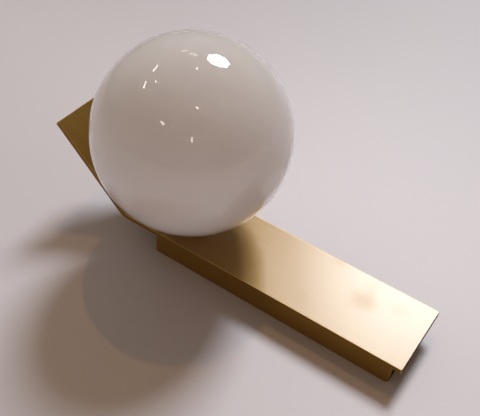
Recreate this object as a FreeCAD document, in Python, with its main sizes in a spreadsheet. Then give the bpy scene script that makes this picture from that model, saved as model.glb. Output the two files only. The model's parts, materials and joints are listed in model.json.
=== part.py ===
import FreeCAD, Part
import math
import os
import Sketcher

# Globe wall sconce: a bent brass plate on a flat wall box, with an opal glass globe that screws
# into a low ring over the lower end of the plate.
#
# Row frame, in millimetres: the wall is the plane y = 0 and the light stands out from it towards
# -Y. +Z is up the wall and +X runs across it. The origin is the middle of the wall bracket's back.
# In the code a place is given as across (x), up (z) and out, which is the distance from the wall.

SIZES = {
    # the bent front plate
    "plate_width": 63.5,
    "plate_thickness": 4,
    "plate_length": 250,
    "flange_length": 90,
    "flange_angle": 45,
    "bend_radius": 10,
    "plate_corner_radius": 1.2,
    "edge_softening": 0.4,
    "plate_tap_depth": 3,
    "top_overhang": 7,
    # the wall box behind it
    "housing_above_bend": 33,
    "housing_depth": 18,
    "housing_wall": 1.5,
    "housing_corner_radius": 3,
    "housing_inset": 0.5,
    # the bracket on the wall
    "bracket_width": 44,
    "bracket_thickness": 2,
    "bracket_bend_radius": 1,
    "bracket_gap": 0.5,
    "ear_depth": 13.5,
    "wall_slot_spacing": 120,
    "wall_slot_length": 14,
    "wall_slot_radius": 2.5,
    # insulating bush in the bracket's cable hole
    "entry_bore_radius": 5,
    "bush_wall": 2,
    "bush_flange": 2,
    "bush_flange_thickness": 1.5,
    # small screws
    "screw_radius": 1.5,
    "screw_head_radius": 2.75,
    "screw_head_height": 1.8,
    "driver_slot_width": 0.8,
    "thread_clearance": 0.06,
    "hole_clearance": 0.25,
    "plate_screw_length": 4.2,
    "plate_screw_across": 22,
    "plate_screw_from_top": 17,
    "plate_screw_above_globe": 24.6,
    "end_screw_length": 6,
    # terminal block on the bracket
    "block_width": 31,
    "block_height": 17,
    "block_depth": 12,
    "block_up": 32,
    "block_screw_length": 13,
    "pole_pitch": 10,
    "wire_bore_radius": 2,
    "wire_bore_out": 5.5,
    "sleeve_clearance": 0.1,
    "sleeve_wall": 0.6,
    "sleeve_setback": 1,
    "clamp_screw_radius": 1.2,
    "clamp_screw_offset": 4.5,
    "clamp_screw_sink": 1,
    "clamp_slot_width": 0.6,
    # earth points
    "earth_across": -15,
    "bracket_earth_up": -24,
    "plate_earth_up": 66,
    "ring_radius": 3.6,
    "ring_thickness": 0.8,
    "crimp_radius": 1.5,
    "crimp_length": 5,
    "earth_washer_radius": 3,
    "earth_washer_thickness": 0.6,
    "bracket_earth_screw_length": 3,
    "plate_earth_screw_length": 5,
    # threaded tube that holds plate, box and gallery together
    "nipple_radius": 5,
    "nipple_bore_radius": 3.5,
    "nipple_behind_plate": 10.5,
    "nipple_before_plate": 6.5,
    "nut_width": 14,
    "nut_thickness": 3,
    "washer_radius": 8,
    "washer_thickness": 0.8,
    # lampholder on its strap
    "holder_radius": 10,
    "holder_length": 20,
    "holder_gap": 10,
    "chamber_width": 3.4,
    "chamber_height": 4.4,
    "chamber_depth": 12,
    "contact_height": 3,
    "contact_setback": 2,
    "contact_clearance": 0.1,
    "lead_hole_radius": 1.2,
    "lead_hole_depth": 3,
    "lead_hole_across": 3,
    "strap_thickness": 1,
    "strap_width": 8,
    "strap_boss_radius": 8,
    "strap_clearance": 0.1,
    "strap_overlap": 8,
    "rivet_radius": 1,
    "rivet_length": 3,
    "rivet_head_radius": 1.6,
    "rivet_head_height": 0.5,
    "rivet_in_from_back": 5,
    # lamp
    "lamp_gap": 0.3,
    "lamp_radius": 8.5,
    "lamp_base_length": 12,
    "lamp_cover_wall": 1,
    "lamp_cover_length": 38,
    "lamp_core_radius": 4,
    "lamp_core_length": 30,
    "pin_spacing": 9,
    "pin_thickness": 0.9,
    "pin_height": 3,
    "pin_length": 8,
    # globe and its threaded neck
    "globe_radius": 75,
    "globe_wall": 3,
    "globe_gap": 8.8,
    "globe_above_bend": 45.4,
    "neck_radius": 15.5,
    "neck_wall": 3,
    "rim_clearance": 1.2,
    "thread_pitch": 4,
    "thread_turns": 1,
    "thread_bead_radius": 1.2,
    "thread_play": 0.8,
    # gallery, the cup that takes the neck
    "gallery_wall": 2,
    "gallery_floor": 2,
    "gallery_height": 9,
    "gallery_thread_angle": 100,
    "seal_thickness": 1.1,
    "seal_gap": 0.2,
    "seal_play": 0.3,
    # leads
    "lead_radius": 0.9,
    "lead_out": 5.2,
    "lead_spread": 1.7,
    "lead_shift_gap": 0.6,
    "lead_rise": 22,
    "lead_turn_up": 6,
    "lead_block_gap": 2,
    "lead_entry": 5,
    "lead_crimp_gap": 0.5,
    "lead_turn_share": 0.45,
    "lead_turn_length": 6,
    "live_column": 17,
    "neutral_column": 13.5,
}

doc = FreeCAD.newDocument("globe_wall_sconce")
dim = doc.addObject("Spreadsheet::Sheet", "dim")
for row, (alias, value) in enumerate(SIZES.items(), start=1):
    dim.set(f"A{row}", alias)
    dim.set(f"B{row}", str(value))
    dim.setAlias(f"B{row}", alias)
doc.recompute()

# Places that several pieces share, as expressions on the sheet. The first ones are distances from
# the wall or heights; BACK and FRONT are a piece's faces towards the wall and away from it.
PLATE_BACK = "dim.housing_depth"
PLATE_FRONT = "(dim.housing_depth + dim.plate_thickness)"
WEB_BACK = "(dim.housing_depth - dim.housing_wall)"
BOX_MIDDLE = "(dim.housing_depth / 2)"
HOUSING_LENGTH = "(dim.plate_length - dim.top_overhang - dim.housing_above_bend)"
HOUSING_TOP = f"({HOUSING_LENGTH} / 2)"
TOP_END = f"({HOUSING_TOP} + dim.top_overhang)"
BEND_UP = f"({TOP_END} - dim.plate_length)"
GLOBE_UP = f"({BEND_UP} + dim.globe_above_bend)"
GLOBE_OUT = f"({PLATE_FRONT} + dim.globe_gap + dim.globe_radius)"
BRACKET_FRONT = "dim.bracket_thickness"
EAR_BACK = f"({HOUSING_TOP} - dim.housing_wall - dim.bracket_gap)"
BUSH_FRONT = f"({BRACKET_FRONT} + dim.bush_flange_thickness)"
BLOCK_FRONT = f"({BRACKET_FRONT} + dim.block_depth)"
WIRE_OUT = f"({BRACKET_FRONT} + dim.wire_bore_out)"
BRACKET_BARREL_OUT = f"({BRACKET_FRONT} + dim.crimp_radius)"
PLATE_BARREL_OUT = f"({WEB_BACK} - dim.crimp_radius)"
RING_FRONT = f"({BRACKET_FRONT} + dim.ring_thickness)"
RING_BACK = f"({WEB_BACK} - dim.ring_thickness)"
EARTH_SEAT_FRONT = f"({RING_FRONT} + dim.earth_washer_thickness)"
EARTH_SEAT_BACK = f"({RING_BACK} - dim.earth_washer_thickness)"
WASHER_BACK = f"({WEB_BACK} - dim.washer_thickness)"
NIPPLE_BACK = f"({PLATE_FRONT} - dim.nipple_behind_plate)"
NIPPLE_FRONT = f"({PLATE_FRONT} + dim.nipple_before_plate)"
GALLERY_FLOOR = f"({PLATE_FRONT} + dim.gallery_floor)"
GALLERY_TOP = f"({PLATE_FRONT} + dim.gallery_height)"
STRAP_FRONT = f"({GALLERY_FLOOR} + dim.strap_thickness)"
NUT_FRONT = f"({STRAP_FRONT} + dim.nut_thickness)"
HOLDER_BACK = f"({PLATE_FRONT} + dim.holder_gap)"
HOLDER_FRONT = f"({HOLDER_BACK} + dim.holder_length)"
CHAMBER_BACK = f"({HOLDER_FRONT} - dim.chamber_depth)"
STRAP_TIP = f"({HOLDER_BACK} + dim.strap_overlap)"
RIVET_OUT = f"({HOLDER_BACK} + dim.rivet_in_from_back)"
LAMP_BACK = f"({HOLDER_FRONT} + dim.lamp_gap)"
LAMP_MIDDLE = f"({LAMP_BACK} + dim.lamp_base_length)"
NECK_RIM = f"({GALLERY_FLOOR} + dim.rim_clearance)"
BEAD_START = f"({NECK_RIM} + dim.thread_bead_radius)"
SEAL_BACK = f"({GALLERY_TOP} + dim.seal_gap)"
SEAL_FRONT = f"({SEAL_BACK} + dim.seal_thickness)"

# Widths and radii that several pieces share.
HOUSING_WIDTH = "(dim.plate_width - 2 * dim.housing_inset)"
BUSH_RADIUS = "(dim.entry_bore_radius + dim.bush_wall)"
TAPPED = "(dim.screw_radius + dim.thread_clearance)"
CLEAR_HOLE = "(dim.screw_radius + dim.hole_clearance)"
CLAMP_RADIUS = "dim.clamp_screw_radius"
NIPPLE_HOLE = "(dim.nipple_radius + dim.hole_clearance)"
BEAD_CREST = "(dim.neck_radius + dim.thread_bead_radius)"
GALLERY_INNER = f"({BEAD_CREST} + dim.thread_play)"
GALLERY_OUTER = f"({GALLERY_INNER} + dim.gallery_wall)"
STRAP_INNER = "(dim.holder_radius + dim.strap_clearance)"
STRAP_OUTER = f"({STRAP_INNER} + dim.strap_thickness)"
RIVET_TIP = f"({STRAP_OUTER} - dim.rivet_length)"
RIVET_HOLE = "(dim.rivet_radius + dim.thread_clearance)"
PAST_BOTH_ENDS = f"(2 * {HOUSING_LENGTH})"

X_AXIS = FreeCAD.Vector(1, 0, 0)
Y_AXIS = FreeCAD.Vector(0, 1, 0)
Z_AXIS = FreeCAD.Vector(0, 0, 1)

# Turns that point a piece's own z axis away from the wall, towards it, up, down or across.
OUTWARD = FreeCAD.Rotation(X_AXIS, 90)
WALLWARD = FreeCAD.Rotation(X_AXIS, -90)
UPWARD = FreeCAD.Rotation()
DOWNWARD = FreeCAD.Rotation(X_AXIS, 180)
ACROSS = FreeCAD.Rotation(Y_AXIS, 90)

# Two places nearer than this, in millimetres, count as one when an edge or a face is picked.
SAME_PLACE = 0.01

SUB_PARTS = []


def number(expression):
    """The present value of an expression on the sheet."""
    value = dim.evalExpression(expression)
    return float(getattr(value, "Value", value))


def bind(thing, expressions):
    for name, expression in expressions.items():
        thing.setExpression(name, expression)


def place(thing, across="0", out="0", up="0"):
    bind(thing, {
        "Placement.Base.x": across,
        "Placement.Base.y": f"-({out})",
        "Placement.Base.z": up,
    })


def name_part(thing, label):
    """Give a finished sub-part the label that names its file."""
    thing.Label = label
    SUB_PARTS.append(thing)
    return thing


# Bodies made from sketches. Their sketches lie on the body's own planes: XZ is parallel to the
# wall and faces outwards, YZ is the side view and XY the view from above.

def new_body():
    return doc.addObject("PartDesign::Body", "body")


def new_sketch(body, role, offset="0"):
    plane = next(feature for feature in body.Origin.OriginFeatures if feature.Role == role)
    sketch = body.newObject("Sketcher::SketchObject", "outline")
    sketch.AttachmentSupport = (plane, "")
    sketch.MapMode = "FlatFace"
    sketch.setExpression("AttachmentOffset.Base.z", offset)
    return sketch


def fix_value(sketch, kind, places, expression, name):
    index = sketch.addConstraint(Sketcher.Constraint(kind, *places, number(expression)))
    sketch.renameConstraint(index, name)
    sketch.setExpression(f"Constraints.{name}", expression)


def draw_polygon(sketch, corners):
    """A closed outline whose corners are pairs of expressions."""
    first = sketch.GeometryCount
    points = [FreeCAD.Vector(number(x), number(y), 0) for x, y in corners]
    for index, point in enumerate(points):
        sketch.addGeometry(Part.LineSegment(point, points[(index + 1) % len(points)]))
    for index, (x, y) in enumerate(corners):
        line = first + index
        following = first + (index + 1) % len(corners)
        sketch.addConstraint(Sketcher.Constraint("Coincident", line, 2, following, 1))
        fix_value(sketch, "DistanceX", (-1, 1, line, 1), x, f"corner{line}_x")
        fix_value(sketch, "DistanceY", (-1, 1, line, 1), y, f"corner{line}_y")


def draw_rectangle(sketch, left, right, low, high):
    draw_polygon(sketch, [(left, low), (right, low), (right, high), (left, high)])


def draw_circle(sketch, x, y, radius):
    centre = FreeCAD.Vector(number(x), number(y), 0)
    circle = sketch.addGeometry(Part.Circle(centre, FreeCAD.Vector(0, 0, 1), number(radius)))
    fix_value(sketch, "DistanceX", (-1, 1, circle, 3), x, f"centre{circle}_x")
    fix_value(sketch, "DistanceY", (-1, 1, circle, 3), y, f"centre{circle}_y")
    fix_value(sketch, "Radius", (circle,), radius, f"radius{circle}")


def draw_upright_slot(sketch, x, y, length, radius):
    """A slot with round ends, its length measured from end to end."""
    reach = f"({length} / 2 - {radius})"
    centre_x, centre_y, half, wide = number(x), number(y), number(reach), number(radius)
    up = FreeCAD.Vector(0, 0, 1)
    top = FreeCAD.Vector(centre_x, centre_y + half, 0)
    low = FreeCAD.Vector(centre_x, centre_y - half, 0)
    side = FreeCAD.Vector(wide, 0, 0)
    first = sketch.GeometryCount
    sketch.addGeometry(Part.ArcOfCircle(Part.Circle(top, up, wide), 0, math.pi))
    sketch.addGeometry(Part.LineSegment(top - side, low - side))
    sketch.addGeometry(Part.ArcOfCircle(Part.Circle(low, up, wide), math.pi, 2 * math.pi))
    sketch.addGeometry(Part.LineSegment(low + side, top + side))
    for index in range(4):
        following = first + (index + 1) % 4
        sketch.addConstraint(Sketcher.Constraint("Tangent", first + index, 2, following, 1))
    sketch.addConstraint(Sketcher.Constraint("Equal", first, first + 2))
    for arc, sign in ((first, "+"), (first + 2, "-")):
        fix_value(sketch, "DistanceX", (-1, 1, arc, 3), x, f"end{arc}_x")
        fix_value(sketch, "DistanceY", (-1, 1, arc, 3), f"{y} {sign} {reach}", f"end{arc}_y")
    fix_value(sketch, "Radius", (first,), radius, f"radius{first}")


def add_feature(body, kind, sketch, length, symmetric=False):
    feature = body.newObject(f"PartDesign::{kind}", kind.lower())
    feature.Profile = sketch
    if symmetric:
        feature.SideType = "Symmetric"
    feature.setExpression("Length", length)
    doc.recompute()


def pocket_towards_wall(body, start, end, draw):
    """Cut what draw sketches, between two distances from the wall."""
    sketch = new_sketch(body, "XZ_Plane", end)
    draw(sketch)
    before = body.Tip.Shape.Volume
    add_feature(body, "Pocket", sketch, f"{end} - {start}")
    check_it_cut(body, before)


def pocket_up_and_down(body, length, draw):
    """Cut what draw sketches both ways from the middle, along the wall."""
    sketch = new_sketch(body, "XY_Plane")
    draw(sketch)
    before = body.Tip.Shape.Volume
    add_feature(body, "Pocket", sketch, length, symmetric=True)
    check_it_cut(body, before)


def check_it_cut(body, before):
    if body.Tip.Shape.Volume >= before:
        raise RuntimeError(f"{body.Tip.Name} cut nothing")


def round_edges(body, radius, wanted):
    """Round the edges of the body that wanted picks."""
    base = body.Tip
    names = [f"Edge{index}" for index, edge in enumerate(base.Shape.Edges, start=1) if wanted(edge)]
    if not names:
        raise RuntimeError("no edge to round")
    fillet = body.newObject("PartDesign::Fillet", "fillet")
    fillet.Base = (base, names)
    fillet.setExpression("Radius", radius)
    doc.recompute()


def near(value, target):
    return abs(value - target) < SAME_PLACE


def runs_along(edge, axis):
    """Whether a straight edge runs along a unit vector."""
    span = edge.Vertexes[-1].Point - edge.Vertexes[0].Point
    return near(edge.Length, span.Length) and near(abs(span.dot(axis)), span.Length)


def at(out, up):
    """Picks the edge that runs across the wall at this distance from it and this height."""
    y, z = -number(out), number(up)

    def wanted(edge):
        point = edge.Vertexes[0].Point
        return runs_along(edge, X_AXIS) and near(point.y, y) and near(point.z, z)

    return wanted


# Pieces made from primitives and booleans.

def cylinder(radius, length, start="0"):
    """A round bar along its own z, from start."""
    bar = doc.addObject("Part::Cylinder", "cylinder")
    bind(bar, {"Radius": radius, "Height": length, "Placement.Base.z": start})
    return bar


def rod(radius, start, end, across="0", up="0"):
    """A round bar that stands out from the wall, between two distances from it."""
    bar = doc.addObject("Part::Cylinder", "rod")
    bar.Placement = FreeCAD.Placement(FreeCAD.Vector(), OUTWARD)
    bind(bar, {"Radius": radius, "Height": f"{end} - ({start})"})
    place(bar, across, start, up)
    return bar


def upright_rod(radius, low, high, across="0", out="0"):
    """A round bar that runs up the wall, between two heights."""
    bar = doc.addObject("Part::Cylinder", "upright_rod")
    bind(bar, {"Radius": radius, "Height": f"{high} - ({low})"})
    place(bar, across, out, low)
    return bar


def cross_rod(radius, left, right, out="0", up="0"):
    """A round bar that runs across the wall."""
    bar = doc.addObject("Part::Cylinder", "cross_rod")
    bar.Placement = FreeCAD.Placement(FreeCAD.Vector(), ACROSS)
    bind(bar, {"Radius": radius, "Height": f"{right} - ({left})"})
    place(bar, left, out, up)
    return bar


def block(left, right, start, end, low, high):
    """A box between two places across, two distances from the wall and two heights."""
    box = doc.addObject("Part::Box", "block")
    bind(box, {
        "Length": f"{right} - ({left})",
        "Width": f"{end} - ({start})",
        "Height": f"{high} - ({low})",
    })
    place(box, left, end, low)
    return box


def hexagon(across_flats, start, end, up="0"):
    prism = doc.addObject("Part::Prism", "hexagon")
    prism.Placement = FreeCAD.Placement(FreeCAD.Vector(), OUTWARD)
    prism.Polygon = 6
    bind(prism, {"Circumradius": f"{across_flats} / sqrt(3)", "Height": f"{end} - ({start})"})
    place(prism, "0", start, up)
    return prism


def ball(radius, out, up="0"):
    sphere = doc.addObject("Part::Sphere", "ball")
    sphere.Placement = FreeCAD.Placement(FreeCAD.Vector(), OUTWARD)
    bind(sphere, {"Radius": radius})
    place(sphere, "0", out, up)
    return sphere


def join(*pieces):
    whole = doc.addObject("Part::MultiFuse", "join")
    whole.Shapes = list(pieces)
    return whole


def cut(base, *tools):
    rest = doc.addObject("Part::Cut", "cut")
    rest.Base = base
    rest.Tool = tools[0] if len(tools) == 1 else join(*tools)
    return rest


def set_of(pieces):
    """Separate solids of one kind, kept together in one sub-part."""
    group = doc.addObject("Part::Compound", "set")
    group.Links = list(pieces)
    return group


def screw(length, facing, across, out, up):
    """A slotted screw. The place is the seat under its head, which faces the given way."""
    head = cylinder("dim.screw_head_radius", "dim.screw_head_height")
    shank = cylinder("dim.screw_radius", length, f"-({length})")
    slot = doc.addObject("Part::Box", "driver_slot")
    bind(slot, {
        "Length": "2 * dim.screw_head_radius",
        "Width": "dim.driver_slot_width",
        "Height": "dim.screw_head_height",
        "Placement.Base.x": "-dim.screw_head_radius",
        "Placement.Base.y": "-dim.driver_slot_width / 2",
        "Placement.Base.z": "dim.screw_head_height / 2",
    })
    piece = cut(join(head, shank), slot)
    piece.Placement = FreeCAD.Placement(FreeCAD.Vector(), facing)
    place(piece, across, out, up)
    return piece


def thread_bead(radius, start, first_angle="0"):
    """A round bead wound about the globe's axis, right-handed, from start outwards."""
    pitch = number("dim.thread_pitch")
    helix = Part.makeHelix(pitch, pitch * number("dim.thread_turns"), number(radius))
    centre = FreeCAD.Vector(number(radius), 0, 0)
    section = Part.Wire(Part.makeCircle(number("dim.thread_bead_radius"), centre, Y_AXIS))
    turned = OUTWARD * FreeCAD.Rotation(Z_AXIS, number(first_angle))
    bead = doc.addObject("Part::Feature", "bead")
    bead.Shape = Part.Wire(helix.Edges).makePipeShell([section], True, True)
    bead.Placement = FreeCAD.Placement(FreeCAD.Vector(), turned)
    place(bead, "0", start, GLOBE_UP)
    return bead


def lead(label, route):
    """A round lead: straight runs joined by tangent arcs, through (across, out, up) points."""
    points = [FreeCAD.Vector(number(across), -number(out), number(up)) for across, out, up in route]
    edges = []
    start = points[0]
    for before, corner, after in zip(points, points[1:], points[2:]):
        back, on = before - corner, after - corner
        shorter = min(back.Length, on.Length)
        half_turn = (math.pi - back.getAngle(on)) / 2
        trim = min(number("dim.lead_turn_share") * shorter, number("dim.lead_turn_length"))
        first = corner + back.normalize() * trim
        last = corner + on.normalize() * trim
        radius = trim / math.tan(half_turn)
        towards = (back + on).normalize()
        middle = corner + towards * (math.hypot(radius, trim) - radius)
        print(f"{label}: arc radius {radius:.1f} mm")
        edges.append(Part.makeLine(start, first))
        edges.append(Part.Arc(first, middle, last).toShape())
        start = last
    edges.append(Part.makeLine(start, points[-1]))
    radius = number("dim.lead_radius")
    section = Part.Wire(Part.makeCircle(radius, points[0], points[1] - points[0]))
    path = Part.Wire(edges)
    tube = doc.addObject("Part::Feature", "tube")
    tube.Shape = path.makePipeShell([section], True, False)
    share = tube.Shape.Volume / (math.pi * radius * radius * path.Length)
    print(f"{label}: length {path.Length:.1f} mm, volume over section times length {share:.4f}")
    return name_part(tube, label)


# The plate, the box behind it and the bracket on the wall.

def front_plate():
    body = new_body()
    side_view = new_sketch(body, "YZ_Plane")
    tip_out = f"({PLATE_BACK} + dim.flange_length * sin(dim.flange_angle))"
    tip_up = f"({BEND_UP} - dim.flange_length * cos(dim.flange_angle))"
    inner_bend_up = f"({BEND_UP} + dim.plate_thickness * tan(dim.flange_angle / 2))"
    draw_polygon(side_view, [
        (f"-{PLATE_BACK}", TOP_END),
        (f"-{PLATE_FRONT}", TOP_END),
        (f"-{PLATE_FRONT}", inner_bend_up),
        (f"-({tip_out} + dim.plate_thickness * cos(dim.flange_angle))",
         f"{tip_up} + dim.plate_thickness * sin(dim.flange_angle)"),
        (f"-{tip_out}", tip_up),
        (f"-{PLATE_BACK}", BEND_UP),
    ])
    add_feature(body, "Pad", side_view, "dim.plate_width", symmetric=True)
    round_edges(body, "dim.bend_radius", at(PLATE_FRONT, inner_bend_up))
    round_edges(body, "dim.bend_radius + dim.plate_thickness", at(PLATE_BACK, BEND_UP))
    thickness = number("dim.plate_thickness")
    round_edges(body, "dim.plate_corner_radius", lambda edge: near(edge.Length, thickness))
    width = number("dim.plate_width")
    round_edges(body, "dim.edge_softening", lambda edge: not near(edge.Length, width))

    def draw_wire_hole(sketch):
        draw_circle(sketch, "0", GLOBE_UP, NIPPLE_HOLE)

    def draw_tapped_holes(sketch):
        for across, up in plate_screw_places() + [plate_earth_place()]:
            draw_circle(sketch, across, up, TAPPED)

    pocket_towards_wall(body, PLATE_BACK, PLATE_FRONT, draw_wire_hole)
    pocket_towards_wall(body, PLATE_BACK, f"({PLATE_BACK} + dim.plate_tap_depth)", draw_tapped_holes)
    return name_part(body, "front_plate")


def plate_screw_places():
    return [(f"{side} * dim.plate_screw_across", up)
            for up in (f"({HOUSING_TOP} - dim.plate_screw_from_top)",
                       f"({GLOBE_UP} + dim.plate_screw_above_globe)")
            for side in (-1, 1)]


def plate_earth_place():
    return "dim.earth_across", "dim.plate_earth_up"


def bracket_earth_place():
    return "dim.earth_across", "dim.bracket_earth_up"


def housing():
    """The wall box: thin walls on four sides and a web against the plate, open to the wall."""
    body = new_body()
    front_view = new_sketch(body, "XZ_Plane")
    draw_rectangle(front_view, f"-{HOUSING_WIDTH} / 2", f"{HOUSING_WIDTH} / 2",
                   f"-{HOUSING_TOP}", HOUSING_TOP)
    add_feature(body, "Pad", front_view, "dim.housing_depth")
    round_edges(body, "dim.housing_corner_radius", lambda edge: runs_along(edge, Y_AXIS))
    solid = body.Tip
    open_face = next(f"Face{index}" for index, face in enumerate(solid.Shape.Faces, start=1)
                     if near(face.BoundBox.YMin, 0) and near(face.BoundBox.YMax, 0))
    shell = body.newObject("PartDesign::Thickness", "shell")
    shell.Base = (solid, [open_face])
    shell.Reversed = True
    shell.setExpression("Value", "dim.housing_wall")
    doc.recompute()

    def draw_web_holes(sketch):
        draw_circle(sketch, "0", GLOBE_UP, NIPPLE_HOLE)
        for across, up in plate_screw_places() + [plate_earth_place()]:
            draw_circle(sketch, across, up, CLEAR_HOLE)

    def draw_end_holes(sketch):
        draw_circle(sketch, "0", f"-{BOX_MIDDLE}", CLEAR_HOLE)

    pocket_towards_wall(body, WEB_BACK, PLATE_BACK, draw_web_holes)
    pocket_up_and_down(body, PAST_BOTH_ENDS, draw_end_holes)
    return name_part(body, "housing")


def wall_bracket():
    """A strip on the wall with an ear turned out at each end."""
    body = new_body()
    side_view = new_sketch(body, "YZ_Plane")
    ear_front = f"({EAR_BACK} - dim.bracket_thickness)"
    draw_polygon(side_view, [
        ("0", EAR_BACK),
        ("-dim.ear_depth", EAR_BACK),
        ("-dim.ear_depth", ear_front),
        (f"-{BRACKET_FRONT}", ear_front),
        (f"-{BRACKET_FRONT}", f"-{ear_front}"),
        ("-dim.ear_depth", f"-{ear_front}"),
        ("-dim.ear_depth", f"-{EAR_BACK}"),
        ("0", f"-{EAR_BACK}"),
    ])
    add_feature(body, "Pad", side_view, "dim.bracket_width", symmetric=True)
    for side in ("", "-"):
        round_edges(body, "dim.bracket_bend_radius", at(BRACKET_FRONT, f"{side}{ear_front}"))
        round_edges(body, "dim.bracket_bend_radius + dim.bracket_thickness", at("0", f"{side}{EAR_BACK}"))

    def draw_slots(sketch):
        for side in ("", "-"):
            draw_upright_slot(sketch, "0", f"{side}dim.wall_slot_spacing / 2",
                              "dim.wall_slot_length", "dim.wall_slot_radius")

    def draw_entry(sketch):
        draw_circle(sketch, "0", "0", f"{BUSH_RADIUS} + dim.hole_clearance")

    def draw_tapped_holes(sketch):
        for across, up in block_screw_places() + [bracket_earth_place()]:
            draw_circle(sketch, across, up, TAPPED)

    def draw_ear_holes(sketch):
        draw_circle(sketch, "0", f"-{BOX_MIDDLE}", TAPPED)

    for draw in (draw_slots, draw_entry, draw_tapped_holes):
        pocket_towards_wall(body, "0", BRACKET_FRONT, draw)
    pocket_up_and_down(body, PAST_BOTH_ENDS, draw_ear_holes)
    return name_part(body, "wall_bracket")


def cable_bush():
    """Insulating bush in the bracket's cable hole."""
    sleeve = rod(BUSH_RADIUS, "0", BRACKET_FRONT)
    flange = rod(f"({BUSH_RADIUS} + dim.bush_flange)", BRACKET_FRONT, BUSH_FRONT)
    return name_part(cut(join(sleeve, flange), rod("dim.entry_bore_radius", "0", BUSH_FRONT)), "cable_bush")


def plate_screws():
    """Screws from inside the box into the back of the plate."""
    screws = [screw("dim.plate_screw_length", WALLWARD, across, WEB_BACK, up)
              for across, up in plate_screw_places()]
    return name_part(set_of(screws), "plate_screws")


def end_screws():
    """Screws through the box's ends into the bracket's ears."""
    top = screw("dim.end_screw_length", UPWARD, "0", BOX_MIDDLE, HOUSING_TOP)
    bottom = screw("dim.end_screw_length", DOWNWARD, "0", BOX_MIDDLE, f"-{HOUSING_TOP}")
    return name_part(set_of([top, bottom]), "end_screws")


# The terminal block and what is clamped in it.

POLES = (-1, 0, 1)
BLOCK_LOW = "(dim.block_up - dim.block_height / 2)"
BLOCK_HIGH = "(dim.block_up + dim.block_height / 2)"


def pole_across(pole):
    return f"({pole} * dim.pole_pitch)"


def clamp_places():
    return [(pole_across(pole), f"(dim.block_up + {side} * dim.clamp_screw_offset)")
            for pole in POLES for side in (-1, 1)]


def block_screw_places():
    return [(f"{side} * dim.pole_pitch / 2", "dim.block_up") for side in (-1, 1)]


def terminal_block():
    body = block("-dim.block_width / 2", "dim.block_width / 2", BRACKET_FRONT, BLOCK_FRONT,
                 BLOCK_LOW, BLOCK_HIGH)
    bores = [upright_rod("dim.wire_bore_radius", BLOCK_LOW, BLOCK_HIGH, pole_across(pole), WIRE_OUT)
             for pole in POLES]
    shafts = [rod(f"{CLAMP_RADIUS} + dim.hole_clearance", WIRE_OUT, BLOCK_FRONT, across, up)
              for across, up in clamp_places()]
    screw_holes = [rod(CLEAR_HOLE, BRACKET_FRONT, BLOCK_FRONT, across, up)
                   for across, up in block_screw_places()]
    return name_part(cut(body, *bores, *shafts, *screw_holes), "terminal_block")


def terminal_sleeves():
    """Brass tubes in the block's bores, drilled for the clamp screws."""
    sleeves = []
    outer = "(dim.wire_bore_radius - dim.sleeve_clearance)"
    for pole in POLES:
        low, high = f"({BLOCK_LOW} + dim.sleeve_setback)", f"({BLOCK_HIGH} - dim.sleeve_setback)"
        tube = upright_rod(outer, low, high, pole_across(pole), WIRE_OUT)
        bore = upright_rod(f"{outer} - dim.sleeve_wall", low, high, pole_across(pole), WIRE_OUT)
        drilled = [rod(f"{CLAMP_RADIUS} + dim.thread_clearance", WIRE_OUT, BLOCK_FRONT, across, up)
                   for across, up in clamp_places() if across == pole_across(pole)]
        sleeves.append(cut(tube, bore, *drilled))
    return name_part(set_of(sleeves), "terminal_sleeves")


def clamp_screws():
    """Headless screws that press the leads into the sleeves."""
    tip = f"({WIRE_OUT} + dim.lead_radius + dim.thread_clearance)"
    head = f"({BLOCK_FRONT} - dim.clamp_screw_sink)"
    screws = []
    for across, up in clamp_places():
        half_slot = "dim.clamp_slot_width / 2"
        slot = block(f"{across} - {CLAMP_RADIUS}", f"{across} + {CLAMP_RADIUS}",
                     f"{head} - dim.clamp_slot_width", head, f"{up} - {half_slot}", f"{up} + {half_slot}")
        screws.append(cut(rod(CLAMP_RADIUS, tip, head, across, up), slot))
    return name_part(set_of(screws), "clamp_screws")


def block_screws():
    screws = [screw("dim.block_screw_length", OUTWARD, across, BLOCK_FRONT, up)
              for across, up in block_screw_places()]
    return name_part(set_of(screws), "block_screws")


# The earth points: one on the bracket, one on the back of the plate.

def ring_terminal(across, up, back, front, barrel_out, side):
    """A flat ring with a crimp barrel that points up (side 1) or down (side -1)."""
    barrel_start = f"({up} + {side} * dim.ring_radius)"
    barrel_end = f"({up} + {side} * (dim.ring_radius + dim.crimp_length))"
    low, high = (barrel_start, barrel_end) if side > 0 else (barrel_end, barrel_start)
    neck_low, neck_high = (up, barrel_start) if side > 0 else (barrel_start, up)
    ring = rod("dim.ring_radius", back, front, across, up)
    neck = block(f"{across} - dim.crimp_radius", f"{across} + dim.crimp_radius", back, front,
                 neck_low, neck_high)
    barrel = upright_rod("dim.crimp_radius", low, high, across, barrel_out)
    hole = rod(CLEAR_HOLE, back, front, across, up)
    bore = upright_rod("dim.lead_radius + dim.thread_clearance", low, high, across, barrel_out)
    return cut(join(ring, neck, barrel), hole, bore)


def earth_rings():
    across, up = bracket_earth_place()
    on_bracket = ring_terminal(across, up, BRACKET_FRONT, RING_FRONT, BRACKET_BARREL_OUT, 1)
    across, up = plate_earth_place()
    on_plate = ring_terminal(across, up, RING_BACK, WEB_BACK, PLATE_BARREL_OUT, -1)
    return name_part(set_of([on_bracket, on_plate]), "earth_rings")


def earth_washer(across, up, back, front):
    disc = rod("dim.earth_washer_radius", back, front, across, up)
    return cut(disc, rod(CLEAR_HOLE, back, front, across, up))


def earth_washers():
    across, up = bracket_earth_place()
    on_bracket = earth_washer(across, up, RING_FRONT, EARTH_SEAT_FRONT)
    across, up = plate_earth_place()
    on_plate = earth_washer(across, up, EARTH_SEAT_BACK, RING_BACK)
    return name_part(set_of([on_bracket, on_plate]), "earth_washers")


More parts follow.
